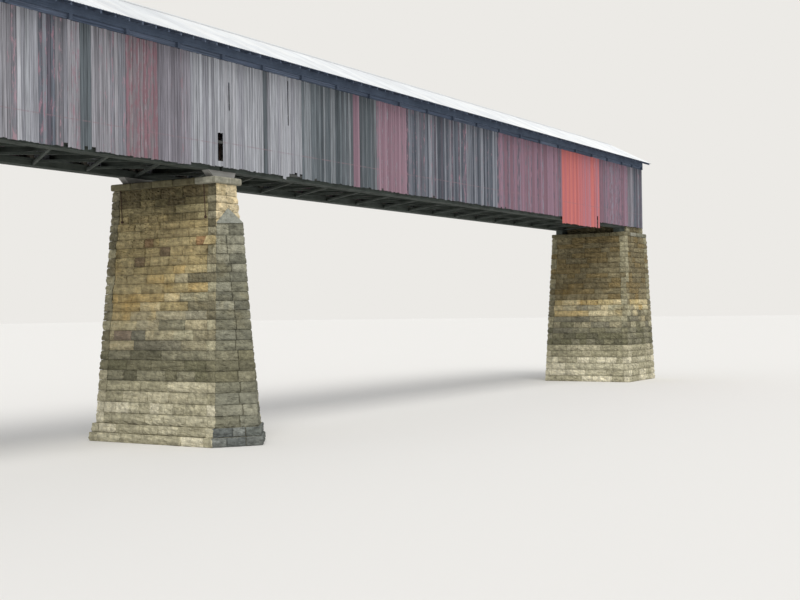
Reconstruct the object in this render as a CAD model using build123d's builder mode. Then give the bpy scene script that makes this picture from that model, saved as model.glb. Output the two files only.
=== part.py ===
from build123d import *
import os
from math import atan2, cos, radians, sin, tan

# A two-span covered timber bridge on one tall stone pier, as a 1:10 model.
# 100 mm here is one metre of the real bridge. X runs along the roadway, the
# near side with the cutwater is -Y, and Z is up from the river bed. The origin
# is the middle of the pier's foot. Each span is a pair of Howe trusses, with
# crossed timber braces between angle blocks and upright iron rods.

# Truss lengths
panel = 355.0
panels = 16
truss_gap = 20.0
chord_overhang = 60.0
shelter_length = 490.0

# Heights of the masonry and of the truss timbers
pier_height = 1336.0
cap_thickness = 36.0
bolster_depth = 36.0
lower_chord_depth = 36.0
truss_clear = 508.0
upper_chord_depth = 30.0

# Truss section across the bridge
siding_y = 342.0
board_thickness = 3.0
nailer_thickness = 15.0
stick_width = 20.0
stick_gap = 5.0
brace_depth = 20.0
rod_diameter = 4.0
plate_length = 14.0
plate_thickness = 3.0

# Pier
pier_top_x = 165.0
pier_top_y = 724.0
pier_spread_x = 115.6
pier_spread_near = 64.0
pier_spread_far = 44.0
footing_step = 10.0
footing_course = 48.0
footing_steps = 2
cap_reach_left = 18.0
cap_reach_right = 31.0
cap_reach_near = 12.0
cap_reach_far = 2.0
cap_chamfer = 9.0
nose_top_drop = 206.0
nose_top_out = 98.0
nose_foot_out = 134.0
nose_rings = 4
coping_rise = 84.0
anchor_rod_diameter = 4.0
anchor_rod_drop = 171.0
anchor_rod_clearance = 0.3
anchor_rod_lean = 22.0
anchor_plate_diameter = 15.0
anchor_plate_thickness = 5.0
anchor_rod_places = (-280.0, 300.0)

# Abutments
abutment_gap = 34.0
abutment_batter = 111.0
abutment_run_on = 50.0
backwall_gap = 40.0
seat_reach = 12.0

# Bolsters
pier_bolster_reach = (-88.0, 130.0)
bolster_slants = (44.0, 15.0)
bolster_width = 46.0
abutment_bolster_length = 118.0
bolster_setback = 8.0

# Floor
floor_beam_width = 24.0
floor_beam_depth = 36.0
floor_beam_short = 4.0
stringer_width = 10.0
stringer_depth = 15.0
stringers_across = 6
deck_thickness = 8.0
deck_clearance = 6.0
deck_end_gap = 5.0
stringer_inset = 22.0

# Laterals between the chords
lateral_width = 16.0
lateral_depth = 12.0
lateral_lift = 4.0
lateral_clearance = 0.3

# Roof
tie_beam_width = 20.0
tie_beam_depth = 26.0
tie_beam_back = 35.0
tie_beam_reach = 10.0
shelter_ties = 2
eave_reach = 90.0
eave_rise = 58.0
roof_pitch = 27.4
roof_thickness = 6.0
roof_gable_reach = 15.0
rafter_depth = 25.0
rafter_width = 10.0
rafter_tail = 8.0
rafter_tail_depth = 15.0
eave_plate_width = 20.0
ridge_cap_width = 30.0
ridge_cap_thickness = 2.0

# Siding and its nailers
siding_drop = 14.0
nailer_depth = 14.0
nail_line_rise = 146.0
middle_nailer_rise = 358.0
nailer_inset = 1.0
siding_split = 40.0
window_x = -20.0
window_width = 42.0
window_rise = 33.0
window_height = 144.0
slit_width = 9.0
slits = ((53.0, 303.0, 145.0), (567.0, 288.0, 250.0))
patch_start = 4315.0
patch_width = 805.0
patch_drop = 50.0
long_boards_end = -250.0
long_boards_drop = 12.0

# Portals
portal_half_width = 240.0
portal_height = 427.0
portal_corner = 50.0
portal_post = 20.0

# Levels and planes that follow
chord_y = siding_y - board_thickness - nailer_thickness
chord_width = 3 * stick_width + 2 * stick_gap
chord_inner = chord_y - chord_width
seat_z = pier_height + cap_thickness
chord_z = seat_z + bolster_depth
lower_top = chord_z + lower_chord_depth
upper_bottom = lower_top + truss_clear
upper_top = upper_bottom + upper_chord_depth
tie_top = upper_top + tie_beam_depth
floor_beam_top = lower_top + floor_beam_depth
stringer_top = floor_beam_top + stringer_depth
deck_top = stringer_top + deck_thickness
nose_top_z = pier_height - nose_top_drop
eave_z = upper_top + eave_rise
portal_head_z = deck_top + portal_height
siding_bottom = chord_z + siding_drop
siding_top = upper_top
nail_lines = (
    lower_top - nailer_inset - nailer_depth / 2,
    chord_z + nail_line_rise,
    chord_z + middle_nailer_rise,
    upper_top - nailer_inset - nailer_depth / 2,
)
truss_end = truss_gap + panel * panels
portal_x = truss_end + shelter_length
abutment_end = portal_x + abutment_run_on
backwall_x = truss_end + chord_overhang + backwall_gap
abutment_face = truss_end - abutment_gap
eave_y = siding_y + eave_reach
tan_pitch = tan(radians(roof_pitch))
cos_pitch = cos(radians(roof_pitch))

sides = (("near", -1), ("far", 1))
spans = (("left", -1), ("right", 1))

os.makedirs("parts", exist_ok=True)


def stick_lines(side):
    """Outer faces with the greater y of the three chord sticks on one side."""
    inner = [chord_inner + i * (stick_width + stick_gap) for i in range(3)]
    return [y + stick_width if side > 0 else -y for y in inner]


def upright(y_high):
    """The XZ plane at y_high, from which an extrusion runs towards -Y."""
    return Plane.XZ.offset(-y_high)


def panel_points(span):
    """X of each panel point of one span, from the pier outwards."""
    return [span * (truss_gap + panel * k) for k in range(panels + 1)]


def roof_under(y):
    """Height of the underside of the roof boards above a place across the bridge."""
    return eave_z - roof_thickness / cos_pitch + (eave_y - abs(y)) * tan_pitch


def battered_block(foot_x, head_x, foot_y, head_y, height):
    """A block with battered faces: its long profile, cut by its cross profile."""
    for plane, foot, head, mode in (
        (Plane.XZ, foot_x, head_x, Mode.ADD),
        (Plane.YZ, foot_y, head_y, Mode.INTERSECT),
    ):
        with BuildSketch(plane) as profile:
            with BuildLine():
                Polyline((foot[0], 0), (foot[1], 0), (head[1], height), (head[0], height), close=True)
            make_face()
        extrude(profile.sketch, amount=max(map(abs, foot_x + foot_y)), both=True, mode=mode)


def block(x0, x1, y0, y1, z0, z1):
    """A square-edged block between two corners."""
    with Locations(((x0 + x1) / 2, (y0 + y1) / 2, (z0 + z1) / 2)):
        Box(x1 - x0, y1 - y0, z1 - z0)


# Pier: a battered shaft on two stepped footing courses
pier_foot_x = pier_top_x / 2 + pier_spread_x
pier_foot_y = (-pier_top_y / 2 - pier_spread_near, pier_top_y / 2 + pier_spread_far)


def pier_half_x(z):
    return pier_foot_x - pier_spread_x * z / pier_height


def pier_near_y(z):
    return pier_foot_y[0] + pier_spread_near * z / pier_height


with BuildPart() as pier:
    battered_block(
        (-pier_foot_x, pier_foot_x),
        (-pier_top_x / 2, pier_top_x / 2),
        pier_foot_y,
        (-pier_top_y / 2, pier_top_y / 2),
        pier_height,
    )
    for course in range(footing_steps):
        out = footing_step * (footing_steps - course)
        z = footing_course * course
        block(
            -pier_foot_x - out,
            pier_foot_x + out,
            pier_near_y(z + footing_course),
            pier_foot_y[1] + out,
            z,
            z + footing_course,
        )
pier.part.label = "pier"
export_step(pier.part, "parts/pier.step")


# Cutwater: a pointed nose on the upstream face, with a sloping coping on top.
# Its flanks twist a little as they rise, so they are laid in flat facets.
def nose_corners(z, extra=0.0):
    out = nose_foot_out + (nose_top_out - nose_foot_out) * z / nose_top_z + extra
    half = pier_half_x(0 if extra else z) + extra
    face = pier_near_y(z)
    return [Vector(-half, face, z), Vector(0, face - out, z), Vector(half, face, z)]


def flat_face(*points):
    return Face(Wire.make_polygon(points, close=True))


rings = [nose_corners(nose_top_z * k / nose_rings) for k in range(nose_rings + 1)]
apex_z = nose_top_z + coping_rise
apex = Vector(0, pier_near_y(apex_z), apex_z)
back = [ring[0] for ring in rings] + [apex] + [ring[2] for ring in reversed(rings)]
nose_faces = [flat_face(*rings[0]), flat_face(*back)]
for flank in (0, 2):
    for low, high in zip(rings, rings[1:]):
        nose_faces.append(flat_face(low[flank], low[1], high[1]))
        nose_faces.append(flat_face(low[flank], high[1], high[flank]))
    nose_faces.append(flat_face(rings[-1][flank], rings[-1][1], apex))

with BuildPart() as cutwater:
    add(Solid(Shell(nose_faces)))
    for course in range(footing_steps):
        footing = nose_corners(footing_course * course, footing_step * (footing_steps - course))
        extrude(flat_face(*footing), amount=footing_course, dir=(0, 0, 1))
cutwater.part.label = "pier_cutwater"
export_step(cutwater.part, "parts/pier_cutwater.step")

with BuildPart() as cap:
    block(
        -pier_top_x / 2 - cap_reach_left,
        pier_top_x / 2 + cap_reach_right,
        -pier_top_y / 2 - cap_reach_near,
        pier_top_y / 2 + cap_reach_far,
        pier_height,
        seat_z,
    )
    level_edges = cap.edges().filter_by(Axis.Z, reverse=True)
    chamfer(level_edges, cap_chamfer)
cap.part.label = "pier_cap"
export_step(cap.part, "parts/pier_cap.step")

# Anchor rods: irons that run down the pier's long faces from under the cap,
# each ending at a round plate on the masonry
pier_lean = atan2(pier_spread_x, pier_height)
with BuildPart() as anchors:
    foot_z = pier_height - anchor_rod_drop
    wall_drop = (anchor_rod_drop - anchor_rod_clearance) / cos(pier_lean)
    rod_length = (wall_drop**2 + anchor_rod_lean**2) ** 0.5
    for way in (-1, 1):
        for y in anchor_rod_places:
            face_x = way * pier_half_x(foot_z)
            axis_x = face_x + way * anchor_rod_diameter / 2 / cos(pier_lean)
            foot_y = y - anchor_rod_lean
            along = (-way * sin(pier_lean) * wall_drop, anchor_rod_lean, cos(pier_lean) * wall_drop)
            outward = (way * cos(pier_lean), 0, sin(pier_lean))
            with BuildSketch(Plane(origin=(axis_x, foot_y, foot_z), x_dir=outward, z_dir=along)):
                RegularPolygon(anchor_rod_diameter / 2, 8)
            extrude(amount=rod_length)
            with BuildSketch(Plane(origin=(face_x, foot_y, foot_z), x_dir=(0, 1, 0), z_dir=outward)):
                RegularPolygon(anchor_plate_diameter / 2, 12)
            extrude(amount=anchor_plate_thickness)
anchors.part.label = "anchor_rods"
export_step(anchors.part, "parts/anchor_rods.step")

# Abutments: a battered river face, a bridge seat, and a backwall block that
# carries the road under the shelter
for span_name, span in spans:
    with BuildPart() as abutment:
        battered_block(
            tuple(sorted((span * (abutment_face - abutment_batter), span * abutment_end))),
            tuple(sorted((span * abutment_face, span * abutment_end))),
            pier_foot_y,
            (-pier_top_y / 2, pier_top_y / 2),
            pier_height,
        )
        seat = sorted((span * (abutment_face - seat_reach), span * abutment_end))
        block(
            *seat,
            -pier_top_y / 2,
            pier_top_y / 2,
            pier_height,
            seat_z,
        )
        backwall = sorted((span * backwall_x, span * abutment_end))
        block(*backwall, -chord_y, chord_y, seat_z, deck_top)
    abutment.part.label = f"abutment_{span_name}"
    export_step(abutment.part, f"parts/abutment_{span_name}.step")

# Bolsters: short timbers under the chord ends
with BuildPart() as bolsters:
    for side_name, side in sides:
        outer = chord_y - bolster_setback
        y_high = outer if side > 0 else -outer + bolster_width
        with BuildSketch(upright(y_high)):
            with BuildLine():
                Polyline(
                    (pier_bolster_reach[0] + bolster_slants[0], seat_z),
                    (pier_bolster_reach[1] - bolster_slants[1], seat_z),
                    (pier_bolster_reach[1], chord_z),
                    (pier_bolster_reach[0], chord_z),
                    close=True,
                )
            make_face()
        extrude(amount=bolster_width)
bolsters.part.label = "pier_bolsters"
export_step(bolsters.part, "parts/pier_bolsters.step")

for span_name, span in spans:
    with BuildPart() as bearing:
        start = abutment_face - seat_reach / 2
        reach = sorted((span * start, span * (start + abutment_bolster_length)))
        for side_name, side in sides:
            across = sorted((side * (chord_y - bolster_setback), side * (chord_inner)))
            block(*reach, *across, seat_z, chord_z)
    bearing.part.label = f"bolsters_{span_name}"
    export_step(bearing.part, f"parts/bolsters_{span_name}.step")

# Chords: three timber sticks side by side, with a gap that the rods pass
for side_name, side in sides:
    for span_name, span in spans:
        with BuildPart() as chord:
            reach = sorted((span * truss_gap / 2, span * (truss_end + chord_overhang)))
            for y_high in stick_lines(side):
                block(*reach, y_high - stick_width, y_high, chord_z, lower_top)
        chord.part.label = f"lower_chord_{side_name}_{span_name}"
        export_step(chord.part, f"parts/lower_chord_{side_name}_{span_name}.step")
    with BuildPart() as chord:
        for y_high in stick_lines(side):
            block(
                -portal_x + board_thickness,
                portal_x - board_thickness,
                y_high - stick_width,
                y_high,
                upper_bottom,
                upper_top,
            )
    chord.part.label = f"upper_chord_{side_name}"
    export_step(chord.part, f"parts/upper_chord_{side_name}.step")

# Braces: each ends square on an angle block, so their lean follows from the
# clear height, the panel and their own depth
lean = atan2(truss_clear, panel)
for _ in range(30):
    lean = atan2(truss_clear - brace_depth * cos(lean), panel - brace_depth * sin(lean))
block_half = brace_depth * sin(lean)
block_rise = brace_depth * cos(lean)


def brace_profile(x_low, x_high):
    """A brace from the block at the lower panel point to the one above x_high."""
    way = 1 if x_high > x_low else -1
    Polyline(
        (x_low + way * block_half, lower_top),
        (x_high, upper_bottom - block_rise),
        (x_high - way * block_half, upper_bottom),
        (x_low, lower_top + block_rise),
        close=True,
    )


for side_name, side in sides:
    outer_line, counter_line, inner_line = stick_lines(side)
    for span_name, span in spans:
        points = panel_points(span)
        with BuildPart() as braces:
            for lines, main in (((outer_line, inner_line), True), ((counter_line,), False)):
                for y_high in lines:
                    with BuildSketch(upright(y_high)):
                        for k in range(panels):
                            towards_pier = k >= panels / 2
                            if towards_pier == main:
                                ends = points[k + 1], points[k]
                            else:
                                ends = points[k], points[k + 1]
                            with BuildLine():
                                brace_profile(*ends)
                            make_face()
                    extrude(amount=stick_width)
        braces.part.label = f"braces_{side_name}_{span_name}"
        export_step(braces.part, f"parts/braces_{side_name}_{span_name}.step")

# Angle blocks: wedges between the brace ends, above and below
for side_name, side in sides:
    with BuildPart() as blocks:
        for y_high in stick_lines(side):
            with BuildSketch(upright(y_high)):
                for _, span in spans:
                    points = panel_points(span)
                    for x in points:
                        left = 0 if x == min(points) else block_half
                        right = 0 if x == max(points) else block_half
                        for base, rise in ((lower_top, block_rise), (upper_bottom, -block_rise)):
                            corners = [(x - left, base), (x, base), (x + right, base), (x, base + rise)]
                            outline = sorted(set(corners), key=corners.index)
                            if left and right:
                                outline.remove((x, base))
                            with BuildLine():
                                Polyline(*outline, close=True)
                            make_face()
            extrude(amount=stick_width)
    blocks.part.label = f"angle_blocks_{side_name}"
    export_step(blocks.part, f"parts/angle_blocks_{side_name}.step")

# Iron rods: one in each gap of the chord at every panel point, drawn up
# against a plate under the lower chord and one over the upper chord
for side_name, side in sides:
    with BuildPart() as rods:
        rod_y = [side * (chord_inner + stick_width + stick_gap / 2 + i * (stick_width + stick_gap)) for i in (0, 1)]
        every_x = [x for _, span in spans for x in panel_points(span)]
        with BuildSketch(Plane.XY.offset(chord_z)):
            with Locations(*[(x, y) for x in every_x for y in rod_y]):
                RegularPolygon(rod_diameter / 2, 6)
        extrude(amount=upper_top - chord_z)
        with Locations(*[(x, side * (chord_y - chord_width / 2), upper_top + plate_thickness / 2) for x in every_x]):
            Box(plate_length, chord_width, plate_thickness)
    rods.part.label = f"iron_rods_{side_name}"
    export_step(rods.part, f"parts/iron_rods_{side_name}.step")

# Floor: beams across the lower chords, stringers along them, planks on top
beam_x = [span * (truss_gap + panel * (k + 0.5)) for _, span in spans for k in range(panels)]
with BuildPart() as floor_beams:
    with Locations(*[(x, 0, lower_top + floor_beam_depth / 2) for x in beam_x]):
        Box(floor_beam_width, 2 * (chord_y - floor_beam_short), floor_beam_depth)
floor_beams.part.label = "floor_beams"
export_step(floor_beams.part, "parts/floor_beams.step")

deck_half = chord_inner - deck_clearance
deck_end = backwall_x - deck_end_gap
stringer_pitch = 2 * (deck_half - stringer_inset) / (stringers_across - 1)
with BuildPart() as stringers:
    with Locations((0, 0, floor_beam_top + stringer_depth / 2)):
        with GridLocations(1, stringer_pitch, 1, stringers_across):
            Box(2 * deck_end, stringer_width, stringer_depth)
stringers.part.label = "stringers"
export_step(stringers.part, "parts/stringers.step")

with BuildPart() as deck:
    block(-deck_end, deck_end, -deck_half, deck_half, stringer_top, deck_top)
deck.part.label = "deck"
export_step(deck.part, "parts/deck.step")


# Laterals: crossed timbers between the chords, one layer just over the other
def cross_bracing(z_low, bays):
    for layer, way in ((0, 1), (1, -1)):
        layer_z = z_low + layer * (lateral_depth + lateral_clearance)
        with BuildSketch(Plane.XY.offset(layer_z)) as strips:
            for x_start, x_end in bays:
                half = lateral_width / 2
                with BuildLine():
                    Polyline(
                        (x_start - half, -way * chord_inner),
                        (x_start + half, -way * chord_inner),
                        (x_end + half, way * chord_inner),
                        (x_end - half, way * chord_inner),
                        close=True,
                    )
                make_face()
        extrude(strips.sketch, amount=lateral_depth)


def bays_of(step):
    bays = []
    for _, span in spans:
        points = sorted(panel_points(span))
        bays += list(zip(points[:-step:step], points[step::step]))
    return bays


with BuildPart() as lower_laterals:
    cross_bracing(chord_z + lateral_lift, bays_of(1))
lower_laterals.part.label = "lower_laterals"
export_step(lower_laterals.part, "parts/lower_laterals.step")

with BuildPart() as upper_laterals:
    cross_bracing(upper_bottom + lateral_lift / 2, bays_of(2))
upper_laterals.part.label = "upper_laterals"
export_step(upper_laterals.part, "parts/upper_laterals.step")

# Tie beams: across the upper chords beside each panel point, running out
# under the eaves, and more of them in the shelters and over the pier
tie_x = [truss_gap + panel * k - tie_beam_back for k in range(1, panels + 1)]
last_tie = portal_x - board_thickness - tie_beam_width / 2
tie_x += [tie_x[-1] + (last_tie - tie_x[-1]) * (i + 1) / shelter_ties for i in range(shelter_ties)]
all_tie_x = sorted([-x for x in tie_x] + [0.0] + tie_x)
tie_half = siding_y + tie_beam_reach
with BuildPart() as tie_beams:
    with Locations(*[(x, 0, upper_top + tie_beam_depth / 2) for x in all_tie_x]):
        Box(tie_beam_width, 2 * tie_half, tie_beam_depth)
tie_beams.part.label = "tie_beams"
export_step(tie_beams.part, "parts/tie_beams.step")

# Eave plates on the tie-beam ends, and rafters notched over them
rafter_drop = rafter_depth / cos_pitch
plate_inner = tie_half - eave_plate_width
plate_top = roof_under(plate_inner) - rafter_drop
roof_end = portal_x + roof_gable_reach
with BuildPart() as eave_plates:
    for _, side in sides:
        across = sorted((side * plate_inner, side * tie_half))
        block(-portal_x + board_thickness, portal_x - board_thickness, *across, tie_top, plate_top)
eave_plates.part.label = "eave_plates"
export_step(eave_plates.part, "parts/eave_plates.step")

with BuildPart() as rafters:
    with BuildSketch(Plane.YZ.offset(-rafter_width / 2)) as rafter_pair:
        for _, side in sides:
            tail = eave_y - rafter_tail
            with BuildLine():
                Polyline(
                    (0, roof_under(0)),
                    (side * tail, roof_under(tail)),
                    (side * tail, roof_under(tail) - rafter_tail_depth),
                    (side * tie_half, roof_under(tie_half) - rafter_drop),
                    (side * tie_half, plate_top),
                    (side * plate_inner, plate_top),
                    (0, roof_under(0) - rafter_drop),
                    close=True,
                )
            make_face()
    pair = extrude(amount=rafter_width, mode=Mode.PRIVATE)
    with Locations(*[(x, 0, 0) for x in all_tie_x]):
        add(pair)
rafters.part.label = "rafters"
export_step(rafters.part, "parts/rafters.step")

# Roof slopes and ridge cap
for side_name, side in sides:
    with BuildPart() as slope:
        lift = roof_thickness / cos_pitch
        with BuildSketch(Plane.YZ.offset(-roof_end)):
            with BuildLine():
                Polyline(
                    (0, roof_under(0)),
                    (side * eave_y, roof_under(eave_y)),
                    (side * eave_y, eave_z),
                    (0, roof_under(0) + lift),
                    close=True,
                )
            make_face()
        extrude(amount=2 * roof_end)
    slope.part.label = f"roof_{side_name}"
    export_step(slope.part, f"parts/roof_{side_name}.step")

ridge_z = roof_under(0) + roof_thickness / cos_pitch
with BuildPart() as ridge:
    with BuildSketch(Plane.YZ.offset(-roof_end)):
        with BuildLine():
            rise = ridge_cap_thickness / cos_pitch
            drop = ridge_cap_width * tan_pitch
            Polyline(
                (-ridge_cap_width, ridge_z - drop),
                (0, ridge_z),
                (ridge_cap_width, ridge_z - drop),
                (ridge_cap_width, ridge_z - drop + rise),
                (0, ridge_z + rise),
                (-ridge_cap_width, ridge_z - drop + rise),
                close=True,
            )
        make_face()
    extrude(amount=2 * roof_end)
ridge.part.label = "ridge_cap"
export_step(ridge.part, "parts/ridge_cap.step")

# Nailers: level timbers on the outside of the trusses that hold the boards
for side_name, side in sides:
    with BuildPart() as nailers:
        for z in nail_lines:
            across = sorted((side * chord_y, side * (chord_y + nailer_thickness)))
            block(
                -portal_x + board_thickness,
                portal_x - board_thickness,
                *across,
                z - nailer_depth / 2,
                z + nailer_depth / 2,
            )
    nailers.part.label = f"nailers_{side_name}"
    export_step(nailers.part, f"parts/nailers_{side_name}.step")

# Siding: a sheet of upright boards a side and span. The near one has a
# window-like hole where boards are missing, two slits, a patch of longer
# boards on the right span, and boards that hang lower on the left span.
for side_name, side in sides:
    for span_name, span in spans:
        split = siding_split if side < 0 else 0.0
        x_low, x_high = (-portal_x, split) if span < 0 else (split, portal_x)
        with BuildPart() as siding:
            with BuildSketch(upright(side * siding_y if side > 0 else -siding_y + board_thickness)):
                with Locations(((x_low + x_high) / 2, (siding_bottom + siding_top) / 2)):
                    Rectangle(x_high - x_low, siding_top - siding_bottom)
                if side < 0 and span > 0:
                    with Locations((patch_start + patch_width / 2, siding_bottom - patch_drop / 2)):
                        Rectangle(patch_width, patch_drop)
                if side < 0 and span < 0:
                    with Locations(((-portal_x + long_boards_end) / 2, siding_bottom - long_boards_drop / 2)):
                        Rectangle(long_boards_end + portal_x, long_boards_drop)
                if side < 0:
                    for x, rise, height in slits:
                        if x_low < x < x_high:
                            with Locations((x, siding_bottom + rise + height / 2)):
                                Rectangle(slit_width, height, mode=Mode.SUBTRACT)
                if side < 0 and span < 0:
                    with Locations((window_x, siding_bottom + window_rise + window_height / 2)):
                        Rectangle(window_width, window_height, mode=Mode.SUBTRACT)
            extrude(amount=board_thickness)
        siding.part.label = f"siding_{side_name}_{span_name}"
        export_step(siding.part, f"parts/siding_{side_name}_{span_name}.step")

# Portals: boarded jambs on their posts, and a boarded gable over the opening
for span_name, span in spans:
    boards = sorted((span * (portal_x - board_thickness), span * portal_x))
    posts = sorted((span * (portal_x - board_thickness - portal_post), span * (portal_x - board_thickness)))
    inside = siding_y - board_thickness
    with BuildPart() as jambs:
        for _, side in sides:
            across = sorted((side * portal_half_width, side * inside))
            block(*boards, *across, deck_top, portal_head_z)
            across = sorted((side * chord_inner, side * chord_y))
            block(*posts, *across, deck_top, upper_bottom)
    jambs.part.label = f"portal_jambs_{span_name}"
    export_step(jambs.part, f"parts/portal_jambs_{span_name}.step")

    with BuildPart() as gable:
        with BuildSketch(Plane.YZ.offset(boards[0])):
            with BuildLine():
                Polyline(
                    (-inside, portal_head_z),
                    (-portal_half_width, portal_head_z),
                    (-portal_half_width + portal_corner, upper_bottom),
                    (portal_half_width - portal_corner, upper_bottom),
                    (portal_half_width, portal_head_z),
                    (inside, portal_head_z),
                    (inside, roof_under(inside)),
                    (0, roof_under(0)),
                    (-inside, roof_under(inside)),
                    close=True,
                )
            make_face()
        extrude(amount=board_thickness)
    gable.part.label = f"gable_{span_name}"
    export_step(gable.part, f"parts/gable_{span_name}.step")
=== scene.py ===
import random
from functools import partial
from math import cos, pi, radians, sin, tan
from random import uniform

import bmesh
import bpy
from mathutils import Matrix, Vector, noise


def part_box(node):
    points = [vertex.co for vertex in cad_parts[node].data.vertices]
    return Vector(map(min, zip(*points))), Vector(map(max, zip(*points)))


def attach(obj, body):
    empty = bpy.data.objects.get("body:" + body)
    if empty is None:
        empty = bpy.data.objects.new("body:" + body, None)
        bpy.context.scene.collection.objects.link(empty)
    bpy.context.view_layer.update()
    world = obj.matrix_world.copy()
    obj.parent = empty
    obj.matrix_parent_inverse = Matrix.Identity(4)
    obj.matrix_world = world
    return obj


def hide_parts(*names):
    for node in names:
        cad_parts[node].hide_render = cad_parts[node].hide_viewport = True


# Two-span covered timber bridge, a 1:10 model: 0.1 m here is one metre of the
# real bridge. The roadway runs along X, the upstream side is -Y.
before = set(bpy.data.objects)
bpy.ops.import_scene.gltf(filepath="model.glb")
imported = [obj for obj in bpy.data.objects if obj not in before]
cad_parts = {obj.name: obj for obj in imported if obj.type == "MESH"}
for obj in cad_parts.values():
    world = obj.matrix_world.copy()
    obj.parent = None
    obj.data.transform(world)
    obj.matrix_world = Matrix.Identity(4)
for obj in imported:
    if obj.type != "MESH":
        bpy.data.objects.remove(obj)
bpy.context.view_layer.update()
scene = bpy.context.scene

# Camera: stands on the near bank at half the pier's height, well to the left,
# and looks past the pier at the right span.
camera_place = (-4.8915, -4.3794, 0.6667)
camera_heading = radians(58.648)
camera_pitch = radians(0.546)
camera_roll = radians(-0.775)
lens_mm = 54.72
camera = bpy.data.objects.new("camera", bpy.data.cameras.new("camera"))
scene.collection.objects.link(camera)
camera.data.lens = lens_mm
camera.data.sensor_width = 36
camera.data.clip_start = 0.05
camera.data.clip_end = 200
camera.matrix_world = (
    Matrix.Translation(camera_place)
    @ Matrix.Rotation(-camera_heading, 4, "Z")
    @ Matrix.Rotation(pi / 2 + camera_pitch, 4, "X")
    @ Matrix.Rotation(camera_roll, 4, "Z")
)
scene.camera = camera


def linear(code):
    """An sRGB hex colour as the linear colour that a shader takes."""
    parts = [int(code[i : i + 2], 16) / 255 for i in (1, 3, 5)]
    return tuple(c / 12.92 if c <= 0.04045 else ((c + 0.055) / 1.055) ** 2.4 for c in parts) + (1.0,)


def feed(node, inputs):
    """Gives a node its inputs, by name or in order. A node in them stands for its first output in use."""
    for key, value in inputs.items() if isinstance(inputs, dict) else enumerate(inputs):
        if isinstance(value, bpy.types.Node):
            value = next(socket for socket in value.outputs if socket.enabled)
        if isinstance(value, bpy.types.NodeSocket):
            node.id_data.links.new(value, node.inputs[key])
        else:
            node.inputs[key].default_value = value


def add_node(tree, kind, inputs=None, **settings):
    """Adds a shader node with its settings and inputs. A MapRange without its last two gives 0 to 1."""
    made = tree.nodes.new("ShaderNode" + kind)
    for key, value in settings.items():
        setattr(made, key, value)
    feed(made, inputs or {})
    return made


def new_finish(name):
    """A new material, its shader, and the call that adds a node to it."""
    material = bpy.data.materials.new(name)
    material.use_nodes = True
    tree = material.node_tree
    return material, tree.nodes["Principled BSDF"], partial(add_node, tree)


# Studio: a pale seamless floor and backdrop, soft light all round and one
# broad lamp high over the near bank, as on a bright overcast day.
floor_half = 90.0
backdrop_colour = linear("#eceae6")
lamp_strength = 1.9
lamp_softness = radians(35)
lamp_tilt = radians(42)
lamp_heading = radians(-48)
lamp_colour = (1.0, 0.985, 0.96)
sky_strength = 0.66
bm = bmesh.new()
bmesh.ops.create_grid(bm, x_segments=1, y_segments=1, size=floor_half)
floor_mesh = bpy.data.meshes.new("studio_floor")
bm.to_mesh(floor_mesh)
bm.free()
studio_floor = bpy.data.objects.new("studio_floor", floor_mesh)
scene.collection.objects.link(studio_floor)
floor_finish, shader, add = new_finish("matt_backdrop_paper")
feed(shader, {"Base Color": backdrop_colour, "Roughness": 0.9, "Specular IOR Level": 0.1})
floor_mesh.materials.append(floor_finish)

world = bpy.data.worlds.new("overcast_studio")
scene.world = world
world.use_nodes = True
world.node_tree.nodes.clear()
add = partial(add_node, world.node_tree)
path = add("LightPath")
sky = add("Background", {"Color": linear("#f4f6f9"), "Strength": sky_strength})
shown = add("Background", {"Color": backdrop_colour, "Strength": 1.0})
seen = path.outputs["Is Camera Ray"]
for ray in ("Is Glossy Ray", "Is Transmission Ray"):
    seen = add("Math", [seen, path.outputs[ray]], operation="MAXIMUM")
pick = add("MixShader", [seen, sky, shown])
add("OutputWorld", {"Surface": pick})

lamp = bpy.data.objects.new("overcast_lamp", bpy.data.lights.new("overcast_lamp", "SUN"))
scene.collection.objects.link(lamp)
lamp.data.energy = lamp_strength
lamp.data.angle = lamp_softness
lamp.data.color = lamp_colour
lamp.rotation_euler = (lamp_tilt, 0, lamp_heading)
scene.view_settings.view_transform = "Standard"


def finish_piece(name, bm, material, stands_for=()):
    """Turns a bmesh into a named piece that rides on the bridge."""
    mesh = bpy.data.meshes.new(name)
    bmesh.ops.recalc_face_normals(bm, faces=bm.faces)
    bm.to_mesh(mesh)
    bm.free()
    mesh.materials.append(material)
    piece = bpy.data.objects.new(name, mesh)
    scene.collection.objects.link(piece)
    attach(piece, "root")
    if stands_for:
        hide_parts(*stands_for)
    return piece


# Sandstone of the pier and the abutments: quarry-faced blocks in courses. The
# rough split face breaks the light, rain streaks and silt vary its tan, and
# iron in the stone blooms ochre on a belt of it.
stone_bed = 0.012
bed_length = 1 / 9
stone_grit = 0.003
split_facet = 0.022
drip_width = 0.02
drip_length = 0.5
bloom_size = 0.07
bloom_rise = (0.52, 0.68)
bloom_wane = (0.85, 1.05)
drip_rise = (0.6, 1.2)


def grained(add, place, axis, across, along, detail, roughness=0.5):
    """A pattern with one size along an axis and another across it, as beds, drips and wood fibres have."""
    scale = tuple(1 / along if letter == axis else 1 / across for letter in "XYZ")
    stretched = add("Mapping", {"Vector": place, "Scale": scale})
    return add("TexNoise", {"Vector": stretched, "Scale": 1.0, "Detail": detail, "Roughness": roughness})


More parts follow.
